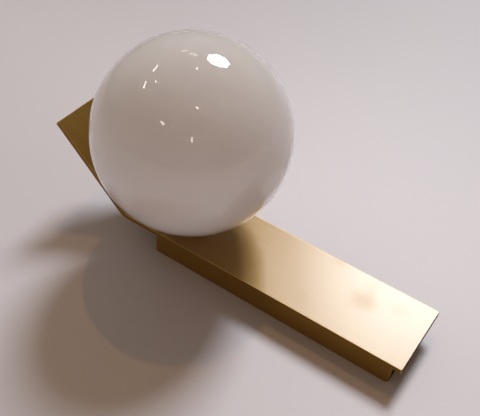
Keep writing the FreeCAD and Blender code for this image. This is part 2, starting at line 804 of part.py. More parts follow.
def earth_screws():
    across, up = bracket_earth_place()
    on_bracket = screw("dim.bracket_earth_screw_length", OUTWARD, across, EARTH_SEAT_FRONT, up)
    across, up = plate_earth_place()
    on_plate = screw("dim.plate_earth_screw_length", WALLWARD, across, EARTH_SEAT_BACK, up)
    return name_part(set_of([on_bracket, on_plate]), "earth_screws")


# The threaded tube and what it clamps.

def threaded_nipple():
    tube = rod("dim.nipple_radius", NIPPLE_BACK, NIPPLE_FRONT, "0", GLOBE_UP)
    bore = rod("dim.nipple_bore_radius", NIPPLE_BACK, NIPPLE_FRONT, "0", GLOBE_UP)
    return name_part(cut(tube, bore), "threaded_nipple")


def ring_round_nipple(outer, start, end, clearance):
    return cut(outer, rod(f"(dim.nipple_radius + {clearance})", start, end, "0", GLOBE_UP))


def back_washer():
    washer = rod("dim.washer_radius", WASHER_BACK, WEB_BACK, "0", GLOBE_UP)
    return name_part(ring_round_nipple(washer, WASHER_BACK, WEB_BACK, "dim.hole_clearance"), "back_washer")


def back_nut():
    start = f"({WASHER_BACK} - dim.nut_thickness)"
    nut = hexagon("dim.nut_width", start, WASHER_BACK, GLOBE_UP)
    return name_part(ring_round_nipple(nut, start, WASHER_BACK, "dim.thread_clearance"), "back_nut")


def front_nut():
    nut = hexagon("dim.nut_width", STRAP_FRONT, NUT_FRONT, GLOBE_UP)
    return name_part(ring_round_nipple(nut, STRAP_FRONT, NUT_FRONT, "dim.thread_clearance"), "front_nut")


def globe_gallery():
    """Brass cup on the plate, with the bead that the globe's neck screws past."""
    outside = rod(GALLERY_OUTER, PLATE_FRONT, GALLERY_TOP, "0", GLOBE_UP)
    inside = rod(GALLERY_INNER, GALLERY_FLOOR, GALLERY_TOP, "0", GLOBE_UP)
    wire_hole = rod(NIPPLE_HOLE, PLATE_FRONT, GALLERY_FLOOR, "0", GLOBE_UP)
    half_pitch_back = f"({BEAD_START} - dim.thread_pitch / 2)"
    start = f"({half_pitch_back} + dim.thread_pitch * dim.gallery_thread_angle / 360)"
    bead = thread_bead(GALLERY_INNER, start, "dim.gallery_thread_angle")
    return name_part(join(cut(outside, inside, wire_hole), bead), "globe_gallery")


# The lampholder and the lamp.

def holder_strap():
    """A steel strap bent up on both sides of the lampholder."""
    low, high = f"({GLOBE_UP} - dim.strap_width / 2)", f"({GLOBE_UP} + dim.strap_width / 2)"
    base = block(f"-{STRAP_OUTER}", STRAP_OUTER, GALLERY_FLOOR, STRAP_FRONT, low, high)
    boss = rod("dim.strap_boss_radius", GALLERY_FLOOR, STRAP_FRONT, "0", GLOBE_UP)
    right_arm = block(STRAP_INNER, STRAP_OUTER, GALLERY_FLOOR, STRAP_TIP, low, high)
    left_arm = block(f"-{STRAP_OUTER}", f"-{STRAP_INNER}", GALLERY_FLOOR, STRAP_TIP, low, high)
    wire_hole = rod(NIPPLE_HOLE, GALLERY_FLOOR, STRAP_FRONT, "0", GLOBE_UP)
    rivet_holes = cross_rod(RIVET_HOLE, f"-{STRAP_OUTER}", STRAP_OUTER, RIVET_OUT, GLOBE_UP)
    whole = join(base, boss, right_arm, left_arm)
    return name_part(cut(whole, wire_hole, rivet_holes), "holder_strap")


def holder_rivets():
    """Rivets through the strap's arms into the lampholder's sides."""
    head = f"({STRAP_OUTER} + dim.rivet_head_height)"
    rivets = []
    for left, right, head_left, head_right in (
            (RIVET_TIP, STRAP_OUTER, STRAP_OUTER, head),
            (f"-{STRAP_OUTER}", f"-{RIVET_TIP}", f"-{head}", f"-{STRAP_OUTER}")):
        shank = cross_rod("dim.rivet_radius", left, right, RIVET_OUT, GLOBE_UP)
        cap = cross_rod("dim.rivet_head_radius", head_left, head_right, RIVET_OUT, GLOBE_UP)
        rivets.append(join(shank, cap))
    return name_part(set_of(rivets), "holder_rivets")


def lampholder():
    """Ceramic body with two pin chambers in front and two lead holes behind."""
    body = rod("dim.holder_radius", HOLDER_BACK, HOLDER_FRONT, "0", GLOBE_UP)
    tools = []
    for side in (-1, 1):
        middle = f"({side} * dim.pin_spacing / 2)"
        tools.append(block(f"{middle} - dim.chamber_width / 2", f"{middle} + dim.chamber_width / 2",
                           CHAMBER_BACK, HOLDER_FRONT,
                           f"{GLOBE_UP} - dim.chamber_height / 2", f"{GLOBE_UP} + dim.chamber_height / 2"))
        tools.append(rod("dim.lead_hole_radius", HOLDER_BACK, f"({HOLDER_BACK} + dim.lead_hole_depth)",
                         f"{side} * dim.lead_hole_across", GLOBE_UP))
    for left, right in ((RIVET_TIP, "dim.holder_radius"), ("-dim.holder_radius", f"-{RIVET_TIP}")):
        tools.append(cross_rod(RIVET_HOLE, left, right, RIVET_OUT, GLOBE_UP))
    return name_part(cut(body, *tools), "lampholder")


def holder_contacts():
    """A spring leaf in each pin chamber, between its outer wall and the pin."""
    near_side = "(dim.pin_spacing / 2 + dim.pin_thickness / 2 + dim.contact_clearance)"
    far_side = "(dim.pin_spacing / 2 + dim.chamber_width / 2)"
    leaves = []
    for left, right in ((near_side, far_side), (f"-{far_side}", f"-{near_side}")):
        leaves.append(block(left, right, CHAMBER_BACK, f"({HOLDER_FRONT} - dim.contact_setback)",
                            f"{GLOBE_UP} - dim.contact_height / 2", f"{GLOBE_UP} + dim.contact_height / 2"))
    return name_part(set_of(leaves), "holder_contacts")


def lamp_base():
    return name_part(rod("dim.lamp_radius", LAMP_BACK, LAMP_MIDDLE, "0", GLOBE_UP), "lamp_base")


def lamp_pins():
    pins = [block(f"{side} * dim.pin_spacing / 2 - dim.pin_thickness / 2",
                  f"{side} * dim.pin_spacing / 2 + dim.pin_thickness / 2",
                  f"({LAMP_BACK} - dim.pin_length)", LAMP_BACK,
                  f"{GLOBE_UP} - dim.pin_height / 2", f"{GLOBE_UP} + dim.pin_height / 2")
            for side in (-1, 1)]
    return name_part(set_of(pins), "lamp_pins")


def lamp_core():
    """The upright stick that carries the light chips."""
    end = f"({LAMP_MIDDLE} + dim.lamp_core_length)"
    return name_part(rod("dim.lamp_core_radius", LAMP_MIDDLE, end, "0", GLOBE_UP), "lamp_core")


def lamp_cover():
    """The lamp's domed cover."""
    dome = f"({LAMP_MIDDLE} + dim.lamp_cover_length - dim.lamp_radius)"
    inner = "(dim.lamp_radius - dim.lamp_cover_wall)"
    outside = join(rod("dim.lamp_radius", LAMP_MIDDLE, dome, "0", GLOBE_UP),
                   ball("dim.lamp_radius", dome, GLOBE_UP))
    inside = join(rod(inner, LAMP_MIDDLE, dome, "0", GLOBE_UP), ball(inner, dome, GLOBE_UP))
    return name_part(cut(outside, inside), "lamp_cover")


# The globe and the seal round its neck.

def neck_seal():
    outer = rod(GALLERY_OUTER, SEAL_BACK, SEAL_FRONT, "0", GLOBE_UP)
    inner = rod(f"({BEAD_CREST} + dim.seal_play)", SEAL_BACK, SEAL_FRONT, "0", GLOBE_UP)
    return name_part(cut(outer, inner), "neck_seal")


def globe():
    """Hollow glass ball, open at a short neck with a thread bead on it."""
    neck_bore = "(dim.neck_radius - dim.neck_wall)"
    outside = join(ball("dim.globe_radius", GLOBE_OUT, GLOBE_UP),
                   rod("dim.neck_radius", NECK_RIM, GLOBE_OUT, "0", GLOBE_UP),
                   thread_bead("dim.neck_radius", BEAD_START))
    inside = join(ball("dim.globe_radius - dim.globe_wall", GLOBE_OUT, GLOBE_UP),
                  rod(neck_bore, NECK_RIM, GLOBE_OUT, "0", GLOBE_UP))
    return name_part(cut(outside, inside), "globe")


# The leads between the terminal block, the lampholder and the earth points.

def lamp_lead(label, side, pole, column):
    """From one side of the lampholder through the tube, up a column and into a pole."""
    hole = f"{side} * dim.lead_hole_across"
    tube = f"{side} * dim.lead_spread"
    return lead(label, [
        (hole, f"{HOLDER_BACK} + dim.lead_hole_depth", GLOBE_UP),
        (hole, f"{HOLDER_BACK} - dim.lead_shift_gap", GLOBE_UP),
        (tube, f"{NIPPLE_FRONT} + dim.lead_shift_gap", GLOBE_UP),
        (tube, "dim.lead_out", GLOBE_UP),
        (column, "dim.lead_out", f"{GLOBE_UP} + dim.lead_rise"),
        (column, "dim.lead_out", "dim.lead_turn_up"),
        (pole_across(pole), WIRE_OUT, f"{BLOCK_LOW} - dim.lead_block_gap"),
        (pole_across(pole), WIRE_OUT, f"{BLOCK_LOW} + dim.lead_entry"),
    ])


def bracket_earth_lead():
    across, up = bracket_earth_place()
    barrel_low = f"({up} + dim.ring_radius)"
    return lead("bracket_earth_lead", [
        (across, BRACKET_BARREL_OUT, f"{barrel_low} + dim.lead_crimp_gap"),
        (across, BRACKET_BARREL_OUT, f"{barrel_low} + dim.crimp_length + dim.lead_block_gap"),
        (pole_across(-1), WIRE_OUT, f"{BLOCK_LOW} - dim.lead_block_gap"),
        (pole_across(-1), WIRE_OUT, f"{BLOCK_LOW} + dim.lead_entry"),
    ])


def plate_earth_lead():
    across, up = plate_earth_place()
    barrel_high = f"({up} - dim.ring_radius)"
    return lead("plate_earth_lead", [
        (across, PLATE_BARREL_OUT, f"{barrel_high} - dim.lead_crimp_gap"),
        (across, PLATE_BARREL_OUT, f"{barrel_high} - dim.crimp_length - dim.lead_block_gap"),
        (pole_across(-1), WIRE_OUT, f"{BLOCK_HIGH} + dim.lead_block_gap"),
        (pole_across(-1), WIRE_OUT, f"{BLOCK_HIGH} - dim.lead_entry"),
    ])


front_plate()
housing()
wall_bracket()
cable_bush()
plate_screws()
end_screws()
terminal_block()
terminal_sleeves()
clamp_screws()
block_screws()
earth_rings()
earth_washers()
earth_screws()
threaded_nipple()
back_washer()
back_nut()
front_nut()
globe_gallery()
holder_strap()
holder_rivets()
lampholder()
holder_contacts()
lamp_base()
lamp_pins()
lamp_core()
lamp_cover()
neck_seal()
globe()
lamp_lead("live_lead", 1, 1, "dim.live_column")
lamp_lead("neutral_lead", -1, 0, "dim.neutral_column")
bracket_earth_lead()
plate_earth_lead()

doc.recompute()
for thing in doc.Objects:
    if "Invalid" in thing.State or "Error" in thing.State:
        raise RuntimeError(f"{thing.Name} ({thing.Label}) failed: {thing.State}")
for part in SUB_PARTS:
    if part.Shape.isNull() or not part.Shape.isValid() or not part.Shape.Solids:
        raise RuntimeError(f"{part.Label} has no valid solid")
os.makedirs("parts", exist_ok=True)
for part in SUB_PARTS:
    part.Shape.exportStep(f"parts/{part.Label}.step")
    print(f"{part.Label}: {len(part.Shape.Solids)} solids, {part.Shape.Volume:.1f} mm3")
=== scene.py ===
"""Globe wall sconce: a camera, a pale wall, studio light and the finish of every piece.

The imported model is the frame. It stands in metres with +Z up the wall, +Y into the wall and the
origin on the wall between the two slots of the bracket.
"""
import json
import math

import bmesh
import bpy
from mathutils import Matrix, Vector


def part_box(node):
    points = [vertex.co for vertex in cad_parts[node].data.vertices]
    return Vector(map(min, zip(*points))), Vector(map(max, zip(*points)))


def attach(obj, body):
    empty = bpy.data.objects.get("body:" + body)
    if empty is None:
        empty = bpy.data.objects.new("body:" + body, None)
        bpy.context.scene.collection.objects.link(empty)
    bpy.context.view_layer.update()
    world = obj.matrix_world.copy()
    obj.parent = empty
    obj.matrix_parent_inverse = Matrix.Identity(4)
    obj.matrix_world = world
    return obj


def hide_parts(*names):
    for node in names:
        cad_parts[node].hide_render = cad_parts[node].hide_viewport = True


MM = 0.001

# The camera, fitted to the outlines of the plate, the wall box and the globe in the photograph.
PHOTO_WIDTH = 480
PHOTO_HEIGHT = 416
SENSOR_WIDTH = 36
LENS = 57.57
CAMERA_PLACE = Vector((353.9, -462.5, 166.3)) * MM
CAMERA_TARGET = Vector((-31.2, -22.0, -65.9)) * MM
CAMERA_UP = Vector((-0.5544, -0.7119, -0.4311))

# The glass. Its radius and place come from the frame, which gives no wall, neck or thread.
GLASS_WALL = 3 * MM
NECK_RADIUS = 15.5 * MM
NECK_FILLET = 1 * MM
BEAD_RADIUS = 1.2 * MM
THREAD_PITCH = 4 * MM
BEAD_FADE = 0.06
GLOBE_SEGMENTS = 144
GLOBE_ROWS = 72
NECK_ROWS = 28
FILLET_ROWS = 4
LIP_ROWS = 8

# The plate's bend, which the brushed grain follows.
FLANGE_ANGLE = math.radians(45)
BEND_HEIGHT = -138 * MM
BEND_BLEND = 4 * MM

# The brass as it is under its lacquer. The grain is noise drawn out along the plate, in layers that
# each have a scale, a detail and a share, and its values lie mostly between the two limits.
BRASS_COLOUR = (0.38, 0.22, 0.048)
BRASS_ROUGHNESS = (0.60, 0.68)
GRAIN_STRETCH = 0.012
GRAIN = [(3200, 2, 0.3), (620, 3, 0.4), (240, 2, 0.3)]
GRAIN_LIMITS = (0.36, 0.64)
GRAIN_DARK = 0.80
STAIN_LIMITS = (0.56, 0.72)
STAINED = 0.35
STAIN_COLOUR = (0.40, 0.22, 0.05)

# The rubbed arrises, whose brighter colour is partly wear and partly a painted glint: how far in from
# the plate's edge they begin and are whole, the share of a normal to the side at which they are whole
# and gone, and what the rubbing and the painted glint do.
RUBBED_AND_GLINT_EDGE = (0.7 * MM, 0.1 * MM)
RUBBED_AND_GLINT_FLANK = (0.8, 0.98)
RUBBED_AND_GLINT = 0.8
RUBBED_SMOOTHER = 0.25
RUBBED_AND_GLINT_COLOUR = (0.80, 0.52, 0.15)

# The lacquer is full on faces turned to the room and thin on the sides. Each smudge in it has its
# middle, as a place across and up the plate, its radius and how much lacquer it takes.
COAT_FRONT = 1.0
COAT_ASIDE = 0.15
COAT_TURN = (-0.98, -0.85)
SMUDGE_RAGGED = 2.4
SMUDGE_EDGE = (1.2, 2.2)
SMUDGES = [
    ((-5 * MM, 62 * MM), 14 * MM, 0.3), ((-15 * MM, 87 * MM), 12 * MM, 0.12),
    ((-22 * MM, 60 * MM), 8 * MM, 0.12), ((-29 * MM, 28 * MM), 9 * MM, 0.25),
    ((20 * MM, 24 * MM), 9 * MM, 0.1),
]

# Where the values of a plain noise mostly lie.
NOISE_LIMITS = (0.3, 0.7)

# The marks on the small pieces inside. The earth sleeve's stripe turns by radians in a metre.
STRIPE_TURNS = 1500.0
STRIPE_COLOUR = (0.72, 0.62, 0.05)
CHIP_PITCH = 4 * MM
CHIP_GAP_COLOUR = (0.86, 0.85, 0.80)
CHIP_COLOUR = (0.88, 0.70, 0.16)

# The wall behind the light, and its opening under the open back of the wall box. Its colour holds
# painted shade towards one side, and painted light and painted shade far out along a slanting
# direction, each between two places in metres.
WALL_GAP = 0.3 * MM
WALL_REACH = 4.0
OPENING_MARGIN = 1.2 * MM
WALL_COLOUR = (0.65, 0.612, 0.650)
WALL_PAINTED_SHADE_SPAN = (-0.55, -0.05)
WALL_PAINTED_SHADE_SHARE = 0.66
WALL_PAINTED_LIGHT_SIDE = (0.6, 0.0, 0.8)
WALL_PAINTED_LIGHT_SPAN = (0.4, 0.9)
WALL_PAINTED_LIGHT_COLOUR = (0.88, 0.87, 0.92)
WALL_PAINTED_DARK_SPAN = (-1.6, -0.5)
WALL_PAINTED_DARK_COLOUR = (0.30, 0.27, 0.26)

# Where the lamps show in the globe, in pixels of the photograph, and what they are. Each spark has
# its first pixel, its last pixel and its strength.
SOFTBOX_PIXEL = (218.5, 60.5)
SOFTBOX_SIDES = 8
SOFTBOX_AWAY = 10.0
SOFTBOX_RADIUS = 1.56
SOFTBOX_TURN = math.radians(2)
SOFTBOX_STRENGTH = 33
SOFTBOX_COLOUR = (0.95, 0.99, 1.05)
SMALL_LAMP_PIXEL = (198, 68)
SMALL_LAMP_AWAY = 10.0
SMALL_LAMP_RADIUS = 0.06
SMALL_LAMP_POWER = 80.0
SMALL_LAMP_COLOUR = (1.0, 0.5, 0.1)
GLOW_PLACE = Vector((10, -9, 10)) * MM
GLOW_POWER = 0.021
GLOW_COLOUR = (1.0, 0.79, 0.70)
SPARKS = [
    ((157, 66), (153.5, 71), 7), ((145.3, 82.5), (143.7, 87.5), 7), ((155, 81), (156, 81.5), 6),
    ((183, 51), (187, 50.5), 3), ((192, 53.7), (196, 55), 3), ((197, 68), (197, 69), 9),
    ((197, 107.5), (197.5, 108.5), 9), ((161.5, 122), (163.7, 124), 7),
    ((192, 138.5), (191.7, 141.5), 7), ((222, 104), (221.5, 107), 2), ((170, 128.5), (173, 128), 1.5),
]
SPARK_AWAY = 2.2
SPARK_WIDTH = 0.070
SPARK_COLOURS = [(1.0, 0.97, 0.93), (1.0, 0.92, 0.80)]

# The room that the light is photographed in, as far as the globe and the brass show it, and the
# plain tone that stands behind the light where the camera looks past the wall.
ROOM_DARK = (0.19, 0.13, 0.085)
ROOM_LIGHT = (0.38, 0.345, 0.30)
ROOM_BEHIND = (0.70, 0.68, 0.66)
ROOM_LIGHT_SIDE = Vector((-0.62, 0.20, -0.76))
ROOM_LIGHT_FADE = (-0.5, 0.9)
ROOM_BEHIND_SIDE = Vector((0, 1, 0))
ROOM_BEHIND_FADE = (0.0, 0.2)
ROOM_SEEN = (0.66, 0.64, 0.64)


def camera():
    """The photograph's camera."""
    data = bpy.data.cameras.new("photo_camera")
    data.sensor_width = SENSOR_WIDTH
    data.lens = LENS
    made = link(bpy.data.objects.new("photo_camera", data))
    back = (CAMERA_PLACE - CAMERA_TARGET).normalized()
    right = CAMERA_UP.cross(back).normalized()
    up = back.cross(right)
    turned = Matrix((right, up, back)).transposed()
    made.matrix_world = Matrix.Translation(CAMERA_PLACE) @ turned.to_4x4()
    bpy.context.scene.camera = made
    return made


def globe_place():
    """The globe's centre and radius, from its CAD node."""
    low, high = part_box("globe")
    radius = (high.x - low.x) / 2
    return Vector((0, low.y + radius, (low.z + high.z) / 2)), radius


def seen_in_globe(view, pixel):
    """The point of the globe under a pixel of the photograph, and the direction it mirrors."""
    centre, radius = globe_place()
    focal = LENS / SENSOR_WIDTH * PHOTO_WIDTH
    across = (pixel[0] - PHOTO_WIDTH / 2) / focal
    down = (pixel[1] - PHOTO_HEIGHT / 2) / focal
    ray = (view.matrix_world.to_3x3() @ Vector((across, -down, -1))).normalized()
    start = CAMERA_PLACE - centre
    along = start.dot(ray)
    reach = -along - math.sqrt(along * along - start.dot(start) + radius * radius)
    point = CAMERA_PLACE + ray * reach
    normal = (point - centre) / radius
    return point, ray.reflect(normal)


def link(made):
    """Puts a new object into the scene."""
    bpy.context.scene.collection.objects.link(made)
    return made


def mesh_object(name, shape, smooth=True):
    """A new object from a bmesh, which is freed."""
    data = bpy.data.meshes.new(name)
    shape.to_mesh(data)
    shape.free()
    data.polygons.foreach_set("use_smooth", [smooth] * len(data.polygons))
    data.update()
    return link(bpy.data.objects.new(name, data))


class Nodes:
    """The nodes of a material or a world, with short names for those that are used here."""

    def __init__(self, owner):
        owner.use_nodes = True
        self.tree = owner.node_tree

    def feed(self, socket, value):
        """Gives a socket its value, or links the socket that the value comes from."""
        if isinstance(value, bpy.types.NodeSocket):
            self.tree.links.new(value, socket)
        elif socket.type == "RGBA" and len(value) == 3:
            socket.default_value = (*value, 1)
        else:
            socket.default_value = value

    def feed_end(self, end, socket, value):
        """Feeds a socket of the node where the tree ends."""
        self.feed(self.tree.nodes[end].inputs[socket], value)

    def node(self, kind, inputs, output=0, **settings):
        """A new node with its inputs and settings, as the output that is asked for."""
        made = self.tree.nodes.new("ShaderNode" + kind)
        for key, value in settings.items():
            setattr(made, key, value)
        for key, value in inputs.items():
            self.feed(made.inputs[key], value)
        return made.outputs[output]

    def parts(self, vector):
        """The x, y and z of a vector."""
        made = self.tree.nodes.new("ShaderNodeSeparateXYZ")
        self.feed(made.inputs[0], vector)
        return made.outputs[0], made.outputs[1], made.outputs[2]

    def vector(self, x, y, z):
        return self.node("CombineXYZ", {0: x, 1: y, 2: z})

    def maths(self, operation, first, second=0.0, third=0.0):
        return self.node("Math", {0: first, 1: second, 2: third}, operation=operation)

    def noise(self, vector, scale, detail=3.0, roughness=0.5, distortion=0.0):
        inputs = {"Vector": vector, "Scale": scale, "Detail": detail, "Roughness": roughness,
                  "Distortion": distortion}
        return self.node("TexNoise", inputs)

    def cells(self, vector, scale):
        return self.node("TexVoronoi", {"Vector": vector, "Scale": scale}, output="Distance")

    def spread(self, value, low, high, new_low, new_high, smooth=False):
        """Maps low..high to new_low..new_high, held at both ends."""
        inputs = {0: value, 1: low, 2: high, 3: new_low, 4: new_high}
        kind = "SMOOTHSTEP" if smooth else "LINEAR"
        return self.node("MapRange", inputs, interpolation_type=kind)

    def dot(self, first, second):
        inputs = {0: first, 1: second}
        return self.node("VectorMath", inputs, output="Value", operation="DOT_PRODUCT")

    def mix(self, factor, first, second):
        """A number between two numbers."""
        return self.node("Mix", {0: factor, 2: first, 3: second}, data_type="FLOAT")

    def blend(self, factor, first, second):
        """A colour between two colours."""
        return self.node("Mix", {0: factor, 6: first, 7: second}, output=2, data_type="RGBA")


class Finish(Nodes):
    """A surface under construction, on one shader whose sockets are set by name."""

    def __init__(self, name, **sockets):
        self.material = bpy.data.materials.new(name)
        super().__init__(self.material)
        self.shader = self.tree.nodes["Principled BSDF"]
        for socket, value in sockets.items():
            self.set(socket.replace("_", " "), value)

    def set(self, socket, value):
        """Sets a socket of the shader, or links one to it."""
        names = {item.name.lower(): item for item in self.shader.inputs}
        self.feed(names[socket.lower()], value)

    def place(self):
        """The point's place on the piece at rest, in metres."""
        return self.node("TexCoord", {}, output="Object")

    def across(self, direction):
        """The way across a direction, in the surface."""
        normal = self.node("NewGeometry", {}, output="True Normal")
        return self.node("VectorMath", {0: normal, 1: direction}, operation="CROSS_PRODUCT")

    def relief(self, height, strength, distance):
        """A normal that is pushed about by a height."""
        inputs = {"Height": height, "Strength": strength, "Distance": distance}
        return self.node("Bump", inputs)

    def bump(self, height, strength, distance):
        self.set("normal", self.relief(height, strength, distance))


def darker(colour, share):
    """A colour with each channel brought down to a share of itself."""
    return tuple(channel * share for channel in colour)


def plate_grain(finish):
    """The place across the plate, and the places along and across the grain, which turns the bend."""
    x, y, z = finish.parts(finish.place())
    turn = math.tan(FLANGE_ANGLE / 2)
    along = finish.maths("MULTIPLY_ADD", y, turn, z)
    fall = math.sin(FLANGE_ANGLE)
    on_flange = finish.spread(z, BEND_HEIGHT, BEND_HEIGHT - BEND_BLEND, 0.0, 1.0)
    beyond = finish.maths("SUBTRACT", z, BEND_HEIGHT)
    lift = finish.maths("MULTIPLY", finish.maths("SUBTRACT", y, beyond), fall)
    depth = finish.mix(on_flange, y, lift)
    across = finish.maths("ADD", x, depth)
    return x, along, across


def smudges(finish):
    """Where fingers have dulled the lacquer: soft round patches with broken edges."""
    x, _, z = finish.parts(finish.place())
    broken = finish.noise(finish.place(), 70, detail=5, roughness=0.65)
    whole = 0.0
    for (across, up), radius, strength in SMUDGES:
        away = finish.node("VectorMath", {0: finish.vector(x, 0.0, z), 1: (across, 0.0, up)},
                           output="Value", operation="DISTANCE")
        ragged = finish.maths("MULTIPLY_ADD", broken, SMUDGE_RAGGED * radius, away)
        inner, outer = (share * radius for share in SMUDGE_EDGE)
        patch = finish.spread(ragged, inner, outer, strength, 0.0, smooth=True)
        whole = finish.maths("MAXIMUM", patch, whole)
    return whole


def brushed_brass():
    """Lacquered brass, brushed along the plate, with a few thumbed patches and rubbed arrises that
    carry a painted glint.
    """
    finish = Finish("brushed_brass", metallic=1.0, anisotropic=0.5, coat_roughness=0.28, coat_ior=1.5)
    x, along, across = plate_grain(finish)
    drawn = finish.vector(across, finish.maths("MULTIPLY", along, GRAIN_STRETCH), 0.0)
    streaks = 0.0
    for scale, detail, share in GRAIN:
        streaks = finish.maths("MULTIPLY_ADD", finish.noise(drawn, scale, detail), share, streaks)
    patches = finish.noise(finish.place(), 32, detail=4, distortion=0.6)
    stain = finish.spread(patches, *STAIN_LIMITS, 0.0, STAINED, smooth=True)
    aside, facing, _ = finish.parts(finish.node("TexCoord", {}, output="Normal"))
    # Rubbed wear and a painted glint: the arrises are painted a brighter brass.
    begins, whole = (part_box("front_plate")[1].x - inset for inset in RUBBED_AND_GLINT_EDGE)
    border = finish.spread(finish.maths("ABSOLUTE", x), begins, whole, 0.0, 1.0, smooth=True)
    flank = finish.spread(finish.maths("ABSOLUTE", aside), *RUBBED_AND_GLINT_FLANK, 1.0, 0.0)
    rubbed_and_glint = finish.maths("MULTIPLY", border, flank)
    tone = finish.spread(streaks, *GRAIN_LIMITS, 0.0, 1.0)
    brushed = finish.blend(tone, darker(BRASS_COLOUR, GRAIN_DARK), BRASS_COLOUR)
    stained = finish.blend(stain, brushed, STAIN_COLOUR)
    worn_and_glint = finish.blend(finish.maths("MULTIPLY", rubbed_and_glint, RUBBED_AND_GLINT), stained, RUBBED_AND_GLINT_COLOUR)
    finish.set("base color", worn_and_glint)
    dull = finish.spread(streaks, *GRAIN_LIMITS, *BRASS_ROUGHNESS)
    finish.set("roughness", finish.maths("MULTIPLY_ADD", rubbed_and_glint, -RUBBED_SMOOTHER, dull))
    finish.bump(streaks, 0.22, 0.05 * MM)
    finish.set("tangent", finish.across((0.0, 0.0, 1.0)))
    lacquer = finish.spread(facing, *COAT_TURN, COAT_FRONT, COAT_ASIDE)
    kept = finish.maths("SUBTRACT", 1.0, smudges(finish))
    finish.set("coat weight", finish.maths("MULTIPLY", lacquer, kept))
    return finish.material


def turned_metal(name, colour, roughness, grain=0.06):
    """Plain machined metal: faint turning marks, slight tarnish and scattered handling marks."""
    finish = Finish(name, metallic=1.0)
    place = finish.place()
    marks = finish.noise(place, 2600, detail=2)
    tarnish = finish.noise(place, 140, detail=4, distortion=0.4)
    tone = finish.spread(tarnish, 0.35, 0.7, 0.0, 1.0, smooth=True)
    finish.set("base color", finish.blend(tone, colour, darker(colour, 0.82)))
    base = finish.spread(tarnish, *NOISE_LIMITS, roughness - 0.05, roughness + 0.08)
    finish.set("roughness", finish.maths("MULTIPLY_ADD", marks, grain, base))
    finish.bump(marks, 0.10, 0.03 * MM)
    return finish.material


def plated_steel(name, colour):
    """Zinc plate: the soft spangle of the zinc over rolled steel."""
    finish = Finish(name, metallic=1.0)
    place = finish.place()
    spangle = finish.cells(place, 420)
    rolled = finish.noise(place, 900, detail=3)
    tone = finish.spread(spangle, 0.0, 0.8, 0.0, 1.0)
    finish.set("base color", finish.blend(tone, colour, darker(colour, 0.86)))
    finish.set("roughness", finish.spread(spangle, 0.0, 0.8, 0.30, 0.44))
    finish.bump(rolled, 0.12, 0.03 * MM)
    return finish.material


def moulded(name, colour, roughness, pebble=0.05):
    """Moulded plastic, fired ceramic or rubber: a fine pebble and a slightly uneven tone."""
    finish = Finish(name, metallic=0.0)
    place = finish.place()
    grain = finish.noise(place, 2400, detail=3)
    uneven = finish.noise(place, 90, detail=3)
    tone = finish.spread(uneven, *NOISE_LIMITS, 0.0, 1.0)
    finish.set("base color", finish.blend(tone, colour, darker(colour, 0.93)))
    dull = finish.spread(grain, *NOISE_LIMITS, roughness - 0.04, roughness + 0.05)
    finish.set("roughness", dull)
    finish.bump(grain, pebble, 0.05 * MM)
    return finish


def white_ceramic(colour):
    finish = moulded("white_ceramic", colour, 0.16, pebble=0.02)
    finish.set("coat weight", 0.8)
    finish.set("coat roughness", 0.08)
    return finish.material


def soft_skin(name, colour, roughness, radius):
    """Milky silicone or a soft lead sleeve, which lets a little light in."""
    finish = moulded(name, colour, roughness, pebble=0.03)
    finish.set("subsurface weight", 0.4)
    finish.set("subsurface scale", radius)
    return finish.material


def earth_sleeve(colour):
    """Green sleeve with a yellow stripe that winds along it."""
    finish = moulded("earth_sleeve", colour, 0.42, pebble=0.03)
    x, y, z = finish.parts(finish.place())
    wound = finish.maths("ADD", finish.maths("ADD", x, y), z)
    turns = finish.maths("SINE", finish.maths("MULTIPLY", wound, STRIPE_TURNS))
    stripe = finish.spread(turns, 0.1, 0.2, 0.0, 1.0)
    finish.set("base color", finish.blend(stripe, colour, STRIPE_COLOUR))
    return finish.material


def clear_cover(colour):
    """Frosted clear plastic cover of the lamp."""
    finish = moulded("clear_cover", colour[:3], 0.35, pebble=0.04)
    finish.set("transmission weight", 0.75)
    finish.set("ior", 1.49)
    return finish.material


def lamp_core(colour):
    """The light chips in rows on their ceramic stick."""
    finish = moulded("lamp_core", colour, 0.4, pebble=0.02)
    _, out, _ = finish.parts(finish.place())
    rows = finish.maths("SINE", finish.maths("MULTIPLY", out, 2 * math.pi / CHIP_PITCH))
    chips = finish.spread(rows, -0.2, 0.1, 0.0, 1.0)
    finish.set("base color", finish.blend(chips, CHIP_GAP_COLOUR, CHIP_COLOUR))
    return finish.material


def opal_glass(colour):
    """Glossy cased opal: clear outer skin over milky glass that light passes through."""
    finish = Finish("opal_glass", metallic=0.0, roughness=0.0, ior=1.5, subsurface_weight=1.0,
                    subsurface_radius=(1.0, 1.0, 1.0), subsurface_scale=25 * MM,
                    coat_weight=1.0, coat_roughness=0.0, coat_ior=1.5)
    cloud = finish.noise(finish.place(), 18, detail=3)
    tone = finish.spread(cloud, *NOISE_LIMITS, 0.0, 1.0)
    finish.set("base color", finish.blend(tone, darker(colour, 0.97), colour))
    drawn = finish.noise(finish.place(), 22, detail=1)
    ripple = finish.relief(drawn, 0.04, 0.4 * MM)
    finish.set("normal", ripple)
    finish.set("coat normal", ripple)
    return finish.material


